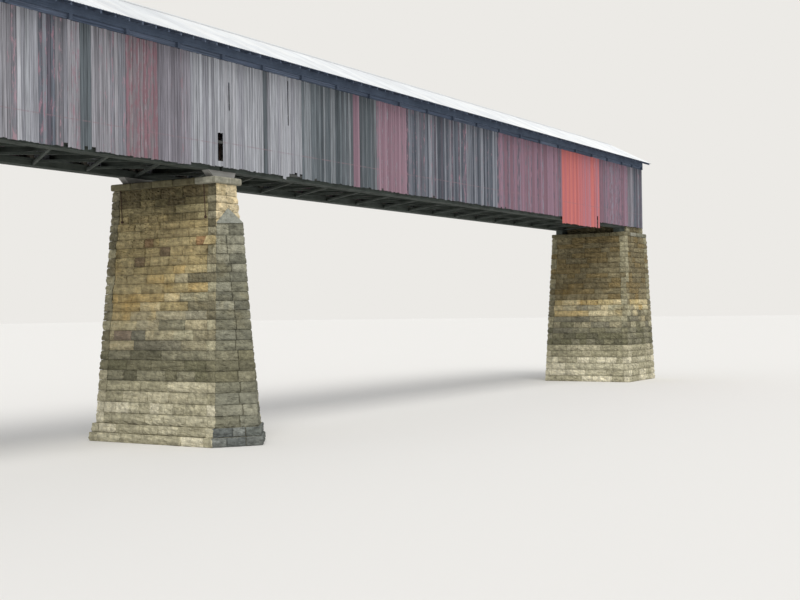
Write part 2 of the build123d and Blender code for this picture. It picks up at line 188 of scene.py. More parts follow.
def sandstone(name, relief):
    """Split sandstone: matt and gritty, blotched along its beds. Its grit is drawn coarse enough to show."""
    material, shader, add = new_finish(name)
    place = add("TexCoord").outputs["Object"]
    height = add("SeparateXYZ", [place]).outputs["Z"]
    tint = add("Attribute", attribute_name="tint")
    blotch = add("TexNoise", {"Vector": place, "Scale": 0.35 / stone_bed, "Detail": 6.0, "Roughness": 0.7})
    shade = add("MapRange", [blotch, 0.3, 0.7, 0.62, 1.36])
    bedding = grained(add, place, "Z", bed_length, stone_bed, 3.0)
    bedding_shade = add("MapRange", [bedding, 0.35, 0.65, 0.88, 1.1])
    both = add("Math", [shade, bedding_shade], operation="MULTIPLY")
    shaded = add("VectorMath", {0: tint, "Scale": both}, operation="SCALE")
    irony = add("TexNoise", {"Vector": place, "Scale": 0.5 / bloom_size, "Detail": 4.0, "Roughness": 0.6})
    bloom = add("MapRange", [irony, 0.5, 0.72, 0.0, 0.6])
    rise = add("MapRange", [height, *bloom_rise])
    wane = add("MapRange", [height, *bloom_wane, 1.0, 0.25])
    belt = add("Math", [rise, wane], operation="MULTIPLY")
    amount = add("Math", [bloom, belt], operation="MULTIPLY")
    darken = {"data_type": "RGBA", "blend_type": "MULTIPLY"}
    bloomed = add("Mix", {0: amount, 6: shaded, 7: linear("#f8e6bf")}, **darken)
    streak = grained(add, place, "Z", drip_width, drip_length, 5.0, 0.65)
    wet = add("MapRange", [streak, 0.5, 0.75])
    reach = add("MapRange", [height, *drip_rise, 0.15, 0.6])
    soaked = add("Math", [wet, reach], operation="MULTIPLY")
    stained = add("Mix", {0: soaked, 6: bloomed, 7: linear("#6f675a")}, **darken)
    spots = add("TexNoise", {"Vector": place, "Scale": 1 / stone_bed, "Detail": 8.0, "Roughness": 0.75})
    lichen = add("MapRange", [spots, 0.58, 0.7, 0.0, 0.5])
    spotted = add("Mix", {0: lichen, 6: stained, 7: linear("#a09e8c")}, data_type="RGBA")
    grit = add("TexNoise", {"Vector": place, "Scale": 0.3 / stone_grit, "Detail": 9.0, "Roughness": 0.7})
    facets = add("TexVoronoi", {"Vector": place, "Scale": 1 / split_facet, "Detail": 2.0})
    rough = add("Math", [grit, facets], operation="ADD")
    bump = add("Bump", {"Strength": 0.85, "Distance": relief, "Height": rough})
    feed(shader, {"Base Color": spotted, "Normal": bump, "Roughness": 0.93, "Specular IOR Level": 0.25})
    return material


quarry_faced = sandstone("quarry_faced_sandstone", 0.008)
dressed = sandstone("dressed_sandstone", 0.0015)


def whole_bmesh(*layers):
    """An empty bmesh that parts are joined into, with its colour layers."""
    bm = bmesh.new()
    for layer in layers or ("tint",):
        bm.loops.layers.float_color.new(layer)
    return bm


def join_in(whole, part, painted_shades_and_lime=None, **colours):
    """Moves a part into the whole, with a colour a layer, by face if asked, and scaled by point by any
    painted shades given.
    """
    for name, colour in colours.items():
        layer = part.loops.layers.float_color.new(name)
        for face in part.faces:
            chosen = colour(face) if callable(colour) else colour
            for loop in face.loops:
                gain = painted_shades_and_lime[loop.vert.index] if painted_shades_and_lime else 1.0
                loop[layer] = (chosen[0] * gain, chosen[1] * gain, chosen[2] * gain, chosen[3])
    mesh = bpy.data.meshes.new("part")
    part.to_mesh(mesh)
    part.free()
    whole.from_mesh(mesh)
    bpy.data.meshes.remove(mesh)


def mixed(colours, spread):
    """One of some colours, a little lighter or darker."""
    chosen = linear(random.choice(colours))
    gain = uniform(1 - spread, 1 + spread)
    return tuple(c * gain for c in chosen[:3]) + (1.0,)


# Courses of blocks: every block is a cube whose outer faces are cut fine and
# laid on the battered wall. The face was split with a pitching tool, so it is
# fullest below its middle and drops back to its bed and head joints.
joint = 0.0009
split_cuts = 7
draft = 0.0045
block_depth = 0.045
block_run = (0.07, 0.19)
crag_size = 0.024
wide_quoin = (0.05, 0.062)
narrow_quoin = (0.07, 0.1)
corner_relief = 0.6
deepest_shade = 0.3
least_stone = 0.012
least_course = 0.02
course_spread = 0.08
stagger = 0.25
sliver = 0.02
on_wall = 0.1
split_relief = 0.0075
core_inset = 0.012
mortar_tint = linear("#8f8870")


def cuboid(corner=(0, 0, 0), opposite=(1, 1, 1), rounding=0.0, segments=1):
    """A box between two opposite corners, or else a cube from 0 to 1, with its edges rounded if asked."""
    low = Vector([min(pair) for pair in zip(corner, opposite)])
    high = Vector([max(pair) for pair in zip(corner, opposite)])
    place = Matrix.Translation((low + high) / 2) @ Matrix.Diagonal((*(high - low), 1))
    bm = bmesh.new()
    bmesh.ops.create_cube(bm, size=1.0, matrix=place)
    if rounding:
        edges = {"geom": bm.edges[:], "affect": "EDGES", "offset": rounding, "segments": segments}
        bmesh.ops.bevel(bm, profile=0.5, material=-1, clamp_overlap=True, **edges)
    return bm


def unit_block(fronts):
    """A cube from 0 to 1 with its outer faces divided: w is the wall face, u the return round a corner."""
    bm = cuboid()
    edges = set()
    for face in bm.faces:
        middle = face.calc_center_median()
        if ("w" in fronts and middle.y < 0.01) or ("u" in fronts and middle.x < 0.01):
            edges.update(face.edges)
    bmesh.ops.subdivide_edges(bm, edges=list(edges), cuts=split_cuts, use_grid_fill=True)
    return bm


def drafted(share, length):
    """Moves the outermost cuts of a divided face to the edge of its drafted margin."""
    step = round(share * (split_cuts + 1))
    margin = min(draft / length, 0.2)
    return {1: margin, split_cuts: 1 - margin}.get(step, share)


def pitched_back(along, up, rough, crag):
    """How far a point of the face lies behind the wall face."""
    if min(up, 1 - up) < 1e-3:
        return rough * (0.85 + 0.25 * crag)
    if min(along, 1 - along) < 1e-3:
        return rough * (1.0 + 0.2 * crag)
    swell = 0.45 * (2 * abs(up - 0.42)) ** 2
    return rough * min(max(0.32 + swell + 1.15 * crag, 0.0), 1.2)


def painted_shade_and_lime(along, up, crag, back, rough):
    """Painted light and shade of a point of the face, with some wash and dirt: pale on top, dark at the foot
    and in the hollows, with lime along the joints.
    """
    if min(along, 1 - along) < 1e-3:
        return 0.92 + 0.4 * crag
    if up < 1e-3:
        return 0.82 + 0.5 * crag
    if up > 1 - 1e-3:
        return 1.12 + 0.4 * crag
    grade = 0.86 + 0.28 * min(up / 0.6, 1.0)
    return grade * (1 + 0.6 * crag) * (1.1 - 0.3 * min(back / rough, 1.0))


def lay_block(whole, corners, fronts, rough, tint, seed):
    """Lays one block. corners holds its foot and head: places of the start, of the end, and of the back."""
    bm = unit_block(fronts)
    turns = "u" in fronts
    low, high = corners
    rough *= corner_relief if turns else 1.0
    length, depth = (low[1] - low[0]).length, (low[2] - low[0]).length
    rise = (high[0] - low[0]).length
    gap_u, gap_h = 0.5 * joint / length, joint / rise
    painted_shades_and_lime = []
    for v in bm.verts:
        u, w, up = v.co
        at_face, at_return = w < 1e-4, u < 1e-4
        u, w, h = drafted(u, length), drafted(w, depth), drafted(up, rise)
        spot = Vector((u * length, w * depth, h * rise * 1.4)) / crag_size + seed
        crag = noise.noise(spot) + 0.6 * noise.noise(spot * 2.3)
        back_w = back_u = 0.0
        if at_face:
            back_w = pitched_back(min(0.5, 1 - u) if turns else 1 - u, h, rough, crag)
        if at_return and turns:
            back_u = pitched_back(min(0.5, 1 - w), h, rough, crag)
        u = min(max(u, 0.0 if turns else gap_u), 1 - gap_u) + back_u / length
        w += back_w / depth
        h = min(max(h, gap_h), 1 - gap_h)
        foot = low[0] + (low[1] - low[0]) * u + (low[2] - low[0]) * w
        head = high[0] + (high[1] - high[0]) * u + (high[2] - high[0]) * w
        v.co = foot.lerp(head, h)
        along = u
        if at_return and not at_face:
            along = 0.5 + w / 2
        elif at_face and turns:
            along = 0.5 + u / 2
        # The colour of each point is scaled by painted light and shade, lit above and shaded below and in the
        # hollows, and by the lime of the joints.
        painted_shades_and_lime.append(max(deepest_shade, painted_shade_and_lime(along, up, crag, max(back_w, back_u), rough)))
    bm.verts.index_update()
    bm.normal_update()
    join_in(whole, bm, painted_shades_and_lime, tint=tint)


def bed_joints(low, high, first, last):
    """Heights of the bed joints, from thick courses below to thin ones above."""
    levels = [low]
    while True:
        share = (levels[-1] - low) / (high - low)
        thickness = (first + (last - first) * share) * uniform(1 - course_spread, 1 + course_spread)
        if levels[-1] + thickness * 1.5 > high:
            return levels + [high]
        levels.append(levels[-1] + thickness)


def side_of(line, i):
    """Direction and length of one side of an outline."""
    along = line[(i + 1) % len(line)] - line[i]
    return along.normalized(), along.length


def lay_walls(whole, outline_at, levels, tint_of, rough=split_relief, lengths=block_run, closed=True, odd=()):
    """Lays blocks round a battered outline, with corner stones that turn the corner long way by turns."""
    count = len(outline_at(levels[0]))
    for row, (z_low, z_high) in enumerate(zip(levels, levels[1:])):
        low, high = outline_at(z_low), outline_at(z_high)
        starts, ends = [0.0] * count, [0.0] * count
        for i in range(count) if closed else range(1, count - 1):
            run_out = uniform(*(wide_quoin if i % 2 else narrow_quoin))
            run_back = uniform(*(narrow_quoin if i % 2 else wide_quoin))
            starts[i], ends[i - 1] = run_out, run_back
            corner = []
            for line in (low, high):
                out = side_of(line, i)[0] * run_out
                back = side_of(line, i - 1)[0] * -run_back
                corner.append((line[i], line[i] + out, line[i] + back))
            middle, seed = (low[i] + high[i]) / 2, Vector((row * 3.7, i * 5.1, z_low * 40))
            tints = tint_of(middle + out / 2, True), tint_of(middle + back / 2, True)

            def corner_tint(face):
                return tints[abs(face.normal.dot(out)) > abs(face.normal.dot(back))]

            lay_block(whole, corner, "wu", rough, corner_tint, seed)
        for i in range(count if closed else count - 1):
            way, length = side_of(low, i)
            reach = length - starts[i] - ends[i]
            if reach < least_stone:
                continue
            stones = max(1, round(reach / uniform(*lengths)))
            inner = [(k + uniform(-stagger, stagger)) / stones for k in range(1, stones)]
            cuts = [0.0, *inner, 1.0]
            for place, half, _ in odd:
                off = place - low[i] - way * starts[i]
                share, half = off.dot(way) / reach, half / reach
                if z_low < place.z < z_high and abs(off.dot(Vector((-way.y, way.x, 0)))) < on_wall:
                    cuts = [c for c in cuts if abs(c - share) > half + sliver / reach]
                    cuts = sorted(cuts + [share - half, share + half])
            for a, b in zip(cuts, cuts[1:]):
                block = []
                for line in (low, high):
                    way, length = side_of(line, i)
                    inward = Vector((-way.y, way.x, 0)) * block_depth
                    span = length - starts[i] - ends[i]
                    first = line[i] + way * (starts[i] + a * span)
                    block.append((first, line[i] + way * (starts[i] + b * span), first + inward))
                middle = (block[0][0] + block[1][1]) / 2
                seed = Vector((a * 31 + row, b * 17 - i, z_low * 23))
                lay_block(whole, block, "w", rough, tint_of(middle, False), seed)


def fill_core(whole, outline_at, z_low, z_high, inset=core_inset):
    """The rubble and mortar behind the blocks: its foot outline, drawn up to the head outline."""
    low, high = outline_at(z_low, inset), outline_at(z_high, inset)
    bm = bmesh.new()
    face = bm.faces.new([bm.verts.new(p) for p in low])
    grown = bmesh.ops.extrude_face_region(bm, geom=[face])["geom"]
    for v in grown:
        if isinstance(v, bmesh.types.BMVert):
            v.co = high[min(range(len(low)), key=lambda k: (v.co - low[k]).length)]
    join_in(whole, bm, tint=mortar_tint)


# Pier: tall battered shaft of tan sandstone on two footing courses. Floods
# bleach its foot, moss darkens the belt above, and a few blocks are iron-red.
pier_head_x = 0.0825
pier_head_y = 0.362
pier_spread_x = 0.1156
pier_spread_near = 0.064
pier_spread_far = 0.044
pier_height = 1.336
nose_top_z = 1.13
footing_out = 0.01
footing_course = 0.048
footing_run = (0.09, 0.2)
pier_courses = (0.057, 0.041)
high_corner_z = 1.05
belt_waver = 0.035
stray_share = 0.2
greyed_y = -0.18
greyed_share = 0.45
silt_blocks = ("#d2cbb1", "#beb89e", "#dad3b9", "#afa98f")
cream_blocks = ("#b7b095", "#a8a287", "#beb79c", "#9f997f")
moss_blocks = ("#807c64", "#76735b", "#8a8670", "#6f6c58")
olive_blocks = ("#9d967c", "#8a8672", "#a79f83", "#7f7b69", "#b3a888")
straw_blocks = ("#c1b693", "#cdc19d", "#9a9580", "#aca489", "#c0ad80", "#b3a98a")
ochre_blocks = ("#c2b286", "#bba676", "#cabb93", "#ad9e75", "#b9aa81")
tan_blocks = ("#b5a57b", "#ad9d73", "#baab81", "#b1a27a")
# The umber belt and the top one are darker from stain and from painted shadow of the cap and the bridge
# above.
umber_blocks = ("#9b8f6b", "#928663", "#a39873")
stain_and_painted_shadow_blocks = ("#756b4f", "#6e644a", "#7a7153")
grey_blocks = ("#a39d82", "#928b72", "#b0aa8e", "#807a63")
high_corners = ("#8c866e", "#7b755e", "#979179", "#6f6953")
buff_blocks = ("#d8c7a1", "#cfbe96", "#ddcda8")
# Belts of the pier's stone, by the height of their top, and single stones that
# stand out from them, by their place, half their length and their colour.
stone_zones = (
    (0.22, silt_blocks),
    (0.33, cream_blocks),
    (0.48, moss_blocks),
    (0.60, olive_blocks),
    (0.71, straw_blocks),
    (0.92, ochre_blocks),
    (1.18, tan_blocks),
    (1.25, umber_blocks),
    (2.0, stain_and_painted_shadow_blocks),
)
odd_places = (
    ((-0.11, -0.285, 1.035), 0.045, "#a3835f"),
    ((-0.11, -0.03, 0.985), 0.036, "#8a7960"),
    ((-0.11, 0.085, 1.035), 0.032, "#9b8262"),
    ((-0.11, 0.145, 0.93), 0.037, "#83735b"),
    ((-0.15, 0.25, 0.545), 0.055, "#8e806f"),
    ((-0.15, 0.13, 0.545), 0.05, "#7e7b6b"),
)
odd_stones = [(Vector(place), half, linear(code)) for place, half, code in odd_places]


def rectangle(x, y, z):
    """Corners of a rectangle at one height, from its ranges along X and Y."""
    return [Vector((x[i], y[k], z)) for i, k in ((0, 0), (1, 0), (1, 1), (0, 1))]


def pier_outline(z, inset=0.0):
    share = 1 - z / pier_height
    x = pier_head_x + pier_spread_x * share - inset
    near = pier_head_y + pier_spread_near * share - inset
    far = pier_head_y + pier_spread_far * share - inset
    return rectangle((-x, x), (-near, far), z)


def pier_footing(step, z, inset=0.0):
    out = footing_out * (2 - step) - inset
    x = pier_head_x + pier_spread_x + out
    return rectangle((-x, x), (pier_outline(z, inset)[0].y, pier_head_y + pier_spread_far + out), z)


def stone_tint(point, is_corner):
    for place, _, tint in odd_stones:
        if point.x < 0 and abs(point.y - place.y) < 0.01 and abs(point.z - place.z) < 0.03:
            return tint
    if point.z > nose_top_z - least_course and point.y < -pier_head_y - 0.0003:
        return mixed(buff_blocks, 0.06)
    z = point.z + belt_waver * noise.noise(point * 7) + uniform(-0.01, 0.01)
    zone = next(k for k, (top, _) in enumerate(stone_zones) if z < top)
    if 3 <= zone <= 5 and random.random() < stray_share:
        zone += random.choice((-1, 1))
    greyed = point.y < greyed_y and 3 <= zone <= 5 and random.random() < greyed_share
    if 2 < zone and (is_corner or greyed):
        return mixed(high_corners if point.z > high_corner_z else grey_blocks, 0.08)
    return mixed(stone_zones[zone][1], 0.06)


def lay_footings(stones, footing, tint_of, **walls):
    """Two courses at the foot of a shaft, each a step wider than what stands on it."""
    for step in (0, 1):
        levels = [step * footing_course, (step + 1) * footing_course]
        lay_walls(stones, partial(footing, step), levels, tint_of, **walls)
        fill_core(stones, partial(footing, step), *levels)


random.seed(11)
pier_levels = bed_joints(2 * footing_course, pier_height, *pier_courses)
pier_stones = whole_bmesh()
lay_walls(pier_stones, pier_outline, pier_levels, stone_tint, odd=odd_stones)
lay_footings(pier_stones, pier_footing, stone_tint, lengths=footing_run)
fill_core(pier_stones, pier_outline, 0.0, pier_height)
finish_piece("pier_blocks", pier_stones, quarry_faced, ["pier"])

# Cutwater: the pointed upstream nose of greyer blocks that parts the current,
# bonded into the pier, and topped by one sloping coping stone.
nose_top_out = 0.098
nose_foot_out = 0.134
flank_inset = 1.8
tip_inset = 1.5
coping_top_z = 1.214
wet_z = 0.1
wet_blocks = ("#71756f", "#787b76", "#6b6f6c")
nose_blocks = ("#858474", "#767566", "#949280", "#7e7c6a")


def nose_out(z):
    return nose_foot_out + (nose_top_out - nose_foot_out) * z / nose_top_z


def nose_outline(z, inset=0.0):
    left, right = pier_outline(z)[:2]
    flank = Vector((flank_inset * inset, 0, 0))
    return [left + flank, Vector((0, left.y - nose_out(z) + tip_inset * inset, z)), right - flank]


def nose_footing(step, z, inset=0.0):
    foot, out = step * footing_course, footing_out * (2 - step)
    x, y = pier_head_x + pier_spread_x + out - flank_inset * inset, pier_outline(foot)[0].y
    tip = Vector((0, y - nose_out(foot) - out + tip_inset * inset, z))
    return [Vector((-x, y, z)), tip, Vector((x, y, z))]


def nose_tint(point, is_corner):
    if point.z < wet_z:
        return mixed(wet_blocks, 0.06)
    mossy = stone_zones[1][0] < point.z < stone_zones[2][0]
    return mixed(moss_blocks if mossy else nose_blocks, 0.08)


random.seed(12)
nose_stones = whole_bmesh()
lay_footings(nose_stones, nose_footing, nose_tint, closed=False)
nose_levels = [z for z in pier_levels if z < nose_top_z - least_course] + [nose_top_z]
lay_walls(nose_stones, nose_outline, nose_levels, nose_tint, closed=False)
for levels in zip(nose_levels, nose_levels[1:]):
    fill_core(nose_stones, nose_outline, *levels)
finish_piece("cutwater_blocks", nose_stones, quarry_faced, ["pier_cutwater"])

coping = whole_bmesh()
coping_stone = bmesh.new()
foot = coping_stone.faces.new([coping_stone.verts.new(p) for p in nose_outline(nose_top_z)])
grown = bmesh.ops.extrude_face_region(coping_stone, geom=[foot])["geom"]
peak = [v for v in grown if isinstance(v, bmesh.types.BMVert)]
apex = Vector((0, pier_outline(coping_top_z)[0].y, coping_top_z))
bmesh.ops.pointmerge(coping_stone, verts=peak, merge_co=apex)
join_in(coping, coping_stone, tint=linear("#96988e"))
finish_piece("cutwater_coping", coping, quarry_faced)

# Bridge seats: thick slabs with a worn round nosing that throw the rain clear
# of the masonry, five on the pier and a row on each abutment.
slab_rounding = 0.009
slab_wear = 0.002
slab_gap = 0.0008
slab_blocks = ("#8f8e7e", "#979586", "#868574")
dark_slabs = ("#6f6a52", "#767058", "#69644e")


def lay_slab(bm, low, high, blocks=slab_blocks):
    slab = cuboid(low, high, slab_rounding, 3)
    for v in slab.verts:
        v.co += ((low + high) / 2 - v.co).normalized() * slab_wear * abs(noise.noise(v.co * 30))
    join_in(bm, slab, tint=mixed(blocks, 0.06))


def lay_slabs(bm, low, high, count, pale=0):
    """A row of slabs side by side along Y, the first ones paler."""
    for k in range(count):
        y = [low.y + (high.y - low.y) * (k + e) / count for e in (0, 1)]
        ends = Vector((low.x, y[0] + slab_gap, low.z)), Vector((high.x, y[1] - slab_gap, high.z))
        lay_slab(bm, *ends, slab_blocks if k < pale else dark_slabs)


random.seed(13)
cap_low, cap_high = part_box("pier_cap")
cap_slabs = whole_bmesh()
lay_slabs(cap_slabs, cap_low, cap_high, 5, 1)
finish_piece("pier_cap_slabs", cap_slabs, dressed, ["pier_cap"])

# Abutments: like the pier, with a battered river face, a bridge seat and a
# backwall block behind it that carries the road under the shelter.
abutment_face = 5.666
abutment_batter = 0.111
abutment_end = 6.24
backwall_x = 5.80
backwall_y = 0.324
seat_reach = 0.012
seat_y = pier_head_y
seat_z = 1.372
deck_top = 1.503
seat_behind = 0.02
slab_bearing = 0.01
backwall_relief = 0.004
abutment_courses = (0.057, 0.043)
backwall_courses = (0.045, 0.042)
long_blocks = (0.08, 0.2)
flood_z = 0.75
pale_share = 0.7
# Above the flood line the face blocks are rusty brown stone darkened with painted shadow of the bridge; most
# quoins are paler, washed stone with painted light beyond that shadow.
rusty_blocks_in_painted_shadow = ("#82785c", "#7a7055", "#8a8063", "#857653")
pale_corners = ("#9d977c", "#938d73", "#a59f84")


def abutment_tint(point, is_corner):
    if point.z < flood_z:
        return stone_tint(point + Vector((5, 0, 0)), is_corner)
    return mixed(pale_corners if is_corner and random.random() < pale_share else rusty_blocks_in_painted_shadow, 0.07)


def abutment_stones(side_name, side):
    seat_back = backwall_x + seat_behind

    def turned(line):
        """The right abutment's outline, or its mirror image for the left one."""
        return line if side > 0 else [Vector((-p.x, p.y, p.z)) for p in reversed(line)]

    def outline(z, inset=0.0):
        share = 1 - z / pier_height
        face = abutment_face - abutment_batter * share + inset
        near = -pier_head_y - pier_spread_near * share + inset
        far = pier_head_y + pier_spread_far * share - inset
        return turned(rectangle((face, abutment_end - inset), (near, far), z))

    def backwall(z, inset=0.0):
        face, y = (seat_back, backwall_y - slab_bearing) if z < seat_z else (backwall_x, backwall_y)
        return turned(rectangle((face + inset, abutment_end - inset), (inset - y, y - inset), z))

    bm = whole_bmesh()
    levels = bed_joints(0.0, pier_height, *abutment_courses)
    lay_walls(bm, outline, levels, abutment_tint, lengths=long_blocks)
    fill_core(bm, outline, 0.0, pier_height)
    under_seat = [pier_height, seat_z - 1e-4]
    for levels in (under_seat, bed_joints(seat_z, deck_top, *backwall_courses)):
        lay_walls(bm, backwall, levels, abutment_tint, backwall_relief, long_blocks)
        fill_core(bm, backwall, levels[0], levels[-1], backwall_relief)
    ends = sorted((side * (abutment_face - seat_reach), side * seat_back))
    lay_slabs(bm, Vector((ends[0], -seat_y, pier_height)), Vector((ends[1], seat_y, seat_z)), 5)
    for y in (-1, 1):
        across = sorted((y * (backwall_y - slab_bearing), y * seat_y))
        for k in range(3):
            run = sorted(side * (seat_back + (abutment_end - seat_back) * (k + e) / 3) for e in (0, 1))
            low = Vector((run[0] + slab_gap, across[0], pier_height))
            lay_slab(bm, low, Vector((run[1] - slab_gap, across[1], seat_z)))
    finish_piece("abutment_blocks_" + side_name, bm, quarry_faced, ["abutment_" + side_name])


random.seed(14)
abutment_stones("left", -1)
abutment_stones("right", 1)

# Siding: rough-sawn upright boards, nailed to the rails. Once painted barn red
# all over: some stretches keep a faded mauve, others are bare and blue-grey,
# newer patches are pale or still bright, and board ends are ragged.
siding_y = 0.342
board_thickness = 0.003
siding_foot = 1.422
siding_head = 1.982
board_pitch = 0.024
board_gap = 0.0023
board_stagger = 0.14
board_askew = 0.004
board_bow = 0.0004
board_set_in = 0.0008
least_board = 0.01
ragged_foot = 0.006
ragged_head = 0.003
rotten_share = 0.04
rotten_foot = (0.004, 0.02)
patch_foot = 1.372
patch_ragged = 0.007
patch_reach = (4.315, 5.12)
long_foot = 1.41
long_end = -0.25
grain_width = 0.0022
grain_length = 0.12
streak_width = 0.006
streak_length = 0.45
flake = 0.009
rust_line_z = 1.554
rust_line_drop = 0.011
rust_line_half = 0.0015
rust_dash = 1 / 35


def board_finish(name, axis, rust):
    """Sawn softwood: grey fibres, drawn coarse enough to show, soot-dark streaks, and old paint in flakes."""
    material, shader, add = new_finish(name)
    place = add("TexCoord").outputs["Object"]
    bare = add("Attribute", attribute_name="bare")
    paint = add("Attribute", attribute_name="paint")
    grain = grained(add, place, axis, grain_width, grain_length, 4.0, 0.6)
    grain_shade = add("MapRange", [grain, 0.3, 0.7, 0.62, 1.3])
    weather = grained(add, place, axis, streak_width, streak_length, 5.0, 0.62)
    weather_shade = add("MapRange", [weather, 0.35, 0.65, 0.62, 1.4])
    both = add("Math", [grain_shade, weather_shade], operation="MULTIPLY")
    wood = add("VectorMath", {0: bare, "Scale": both}, operation="SCALE")
    peel = grained(add, place, axis, 2 * flake, 9 * flake, 8.0, 0.72)
    level = add("Math", [1.0, paint.outputs["Alpha"]], operation="SUBTRACT")
    reach = add("MapRange", [level, 0.0, 1.0, 0.22, 0.74])
    past = add("Math", [peel, reach], operation="SUBTRACT")
    cover = add("MapRange", [past, -0.035, 0.05])
    fade = add("MapRange", [weather, 0.3, 0.7, 0.85, 1.12])
    coat = add("VectorMath", {0: paint, "Scale": fade}, operation="SCALE")
    painted = add("Mix", {0: cover, 6: wood, 7: coat}, data_type="RGBA")
    if rust:
        parts = add("SeparateXYZ", [place])
        left = add("Math", [parts.outputs["X"], 0.0], operation="LESS_THAN")
        drop = add("Math", [left, rust_line_drop, -rust_line_z], operation="MULTIPLY_ADD")
        off = add("Math", [parts.outputs["Z"], drop], operation="ADD")
        away = add("Math", [off], operation="ABSOLUTE")
        line = add("MapRange", [away, rust_line_half, 3 * rust_line_half, 0.5, 0.0])
        dashes = add("TexNoise", {"Vector": place, "Scale": 1 / rust_dash, "Detail": 3.0})
        dashed = add("MapRange", [dashes, 0.4, 0.55, 0.15, 1.0])
        amount = add("Math", [line, dashed], operation="MULTIPLY")
        painted = add("Mix", {0: amount, 6: painted, 7: linear("#8f767d")}, data_type="RGBA")
    relief = add("Math", [grain, cover], operation="ADD")
    bump = add("Bump", {"Strength": 0.5, "Distance": 0.0006, "Height": relief})
    feed(shader, {"Base Color": painted, "Normal": bump, "Roughness": 0.88, "Specular IOR Level": 0.2})
    return material


barn_boards = board_finish("weathered_barn_boards", "Z", True)

# Each finish of a stretch of boards: bare wood colours, paint colour, and how
# much of the paint is left, from and to.
board_finishes = {
    "silver": (("#a4a6ac", "#9a9ca2", "#aeafb5", "#8f9097", "#a0a2a8"), ("#a5959d",), (0.0, 0.12)),
    "silver_red": (("#939298", "#9b9aa0", "#88878d", "#7b7b82"), ("#a08790", "#99808a"), (0.1, 0.42)),
    "slate": (("#62696e", "#535a5f", "#6e757a", "#5d6267", "#80858a"), ("#8a7079",), (0.0, 0.16)),
    "slate_streaked": (("#5f646d", "#50555e", "#6e727b", "#625f69", "#80838b"), ("#9a7b87",), (0.05, 0.4)),
    "smoke": (("#85828a", "#79767e", "#8e8b93"), ("#8a747d",), (0.1, 0.35)),
    "mauve": (("#7b7480", "#857e8a", "#6b6470"), ("#8c6f7c", "#937786", "#826672"), (0.4, 0.8)),
    "rose": (("#8b848c", "#7f7880"), ("#8f7480", "#876d79", "#957b87"), (0.45, 0.85)),
    "worn_rose": (("#857d82", "#7b7379", "#8f878b"), ("#8e6f78", "#876971"), (0.3, 0.65)),
    "scarlet": (("#a58488", "#9a7a80"), ("#c3706c", "#c97671", "#b96c6e"), (0.78, 1.0)),
    "coral": (("#a58a92", "#9b8088"), ("#b9777d", "#c07476", "#b07a84"), (0.65, 0.95)),
}
# Where the stretches start along the bridge. A hole is given by its x from and
# to, and its z from and to. The short boards and the low one are given by their
# x from and to, and by how far they stop short or hang down.
near_stretches = {
    -6.27: "mauve", -5.6: "slate", -5.25: "rose", -4.7: "mauve", -4.0: "slate_streaked",
    -3.35: "silver", -3.0: "mauve", -2.3: "slate", -1.9: "silver_red", -1.34: "silver",
    -1.22: "slate_streaked", -1.13: "silver_red", -0.99: "slate", -0.93: "silver_red",
    -0.71: "worn_rose", -0.49: "smoke", -0.26: "silver", 0.34: "slate", 0.375: "silver",
    0.70: "slate", 1.22: "rose", 1.29: "slate", 1.47: "rose", 1.855: "slate_streaked",
    3.16: "mauve", 4.315: "scarlet", 4.66: "coral", 4.93: "scarlet", 5.0: "coral",
    5.12: "mauve", 5.80: "smoke", 5.95: "slate_streaked",
}
far_stretches = {
    -6.27: "slate", -5.4: "mauve", -4.2: "rose", -3.6: "slate_streaked", -2.4: "silver_red",
    -1.6: "mauve", -0.7: "silver", 0.5: "slate", 1.4: "mauve", 2.6: "slate_streaked",
    3.4: "rose", 4.5: "mauve", 5.3: "smoke", 5.7: "mauve",
}
near_holes = (
    (-0.041, 0.001, 1.455, 1.599),
    (0.0485, 0.0575, 1.725, 1.870),
    (0.5625, 0.5715, 1.710, 1.960),
    (5.058, 5.085, 1.3, 1.475),
)
near_joints = [long_end, -0.020, 0.0128, 0.34, 0.375, *patch_reach]
near_joints += [x for hole in near_holes for x in hole[:2]]
short_boards = (0.5715, 0.70, 0.03)
low_board = (0.505, 0.53, 0.014)


def board_edges(low, high, fixed):
    """Places of the joints between boards, with the fixed ones where they are."""
    stops = [low] + sorted(x for x in fixed if low < x < high) + [high]
    edges = []
    for a, b in zip(stops, stops[1:]):
        count = max(1, round((b - a) / board_pitch))
        shifts = [uniform(-board_stagger, board_stagger) if 0 < k else 0.0 for k in range(count)]
        edges += [a + (b - a) * (k + shifts[k]) / count for k in range(count)]
    return edges + [high]


def stretch_at(stretches, x):
    return [kind for start, kind in stretches.items() if start <= x][-1]


def lay_board(whole, x, z, face, inward, colours):
    """One upright board between two x and two z, its face at y = face, its foot cut a little askew."""
    board = cuboid()
    upright = [e for e in board.edges if abs(e.verts[0].co.z - e.verts[1].co.z) > 0.5]
    bmesh.ops.subdivide_edges(board, edges=upright, cuts=3)
    width = x[1] - x[0] - board_gap
    askew = uniform(-1, 1) * board_askew
    bow = uniform(-1, 1) * board_bow
    for v in board.verts:
        u, w, h = v.co
        foot = z[0] + abs(askew) * (u if askew > 0 else 1 - u)
        v.co = Vector((
            x[0] + board_gap / 2 + width * u + bow * sin(pi * h),
            face + inward * board_thickness * w,
            foot + (z[1] - foot) * h,
        ))
    join_in(whole, board, **colours)


def board_colours(kind):
    bare, coats, paint_left = board_finishes[kind]
    coat = mixed(coats, 0.06)
    return {"bare": mixed(bare, 0.17), "paint": coat[:3] + (uniform(*paint_left),)}


def near_foot(foot, x):
    """Foot of a board on the near side, where some are shorter or longer than the rest."""
    if short_boards[0] < x < short_boards[1]:
        foot += uniform(rotten_foot[0], short_boards[2])
    if low_board[0] < x < low_board[1]:
        foot = siding_foot - low_board[2]
    if x < long_end:
        foot += long_foot - siding_foot
    if patch_reach[0] < x < patch_reach[1]:
        foot = patch_foot + uniform(0.0, patch_ragged)
    return foot


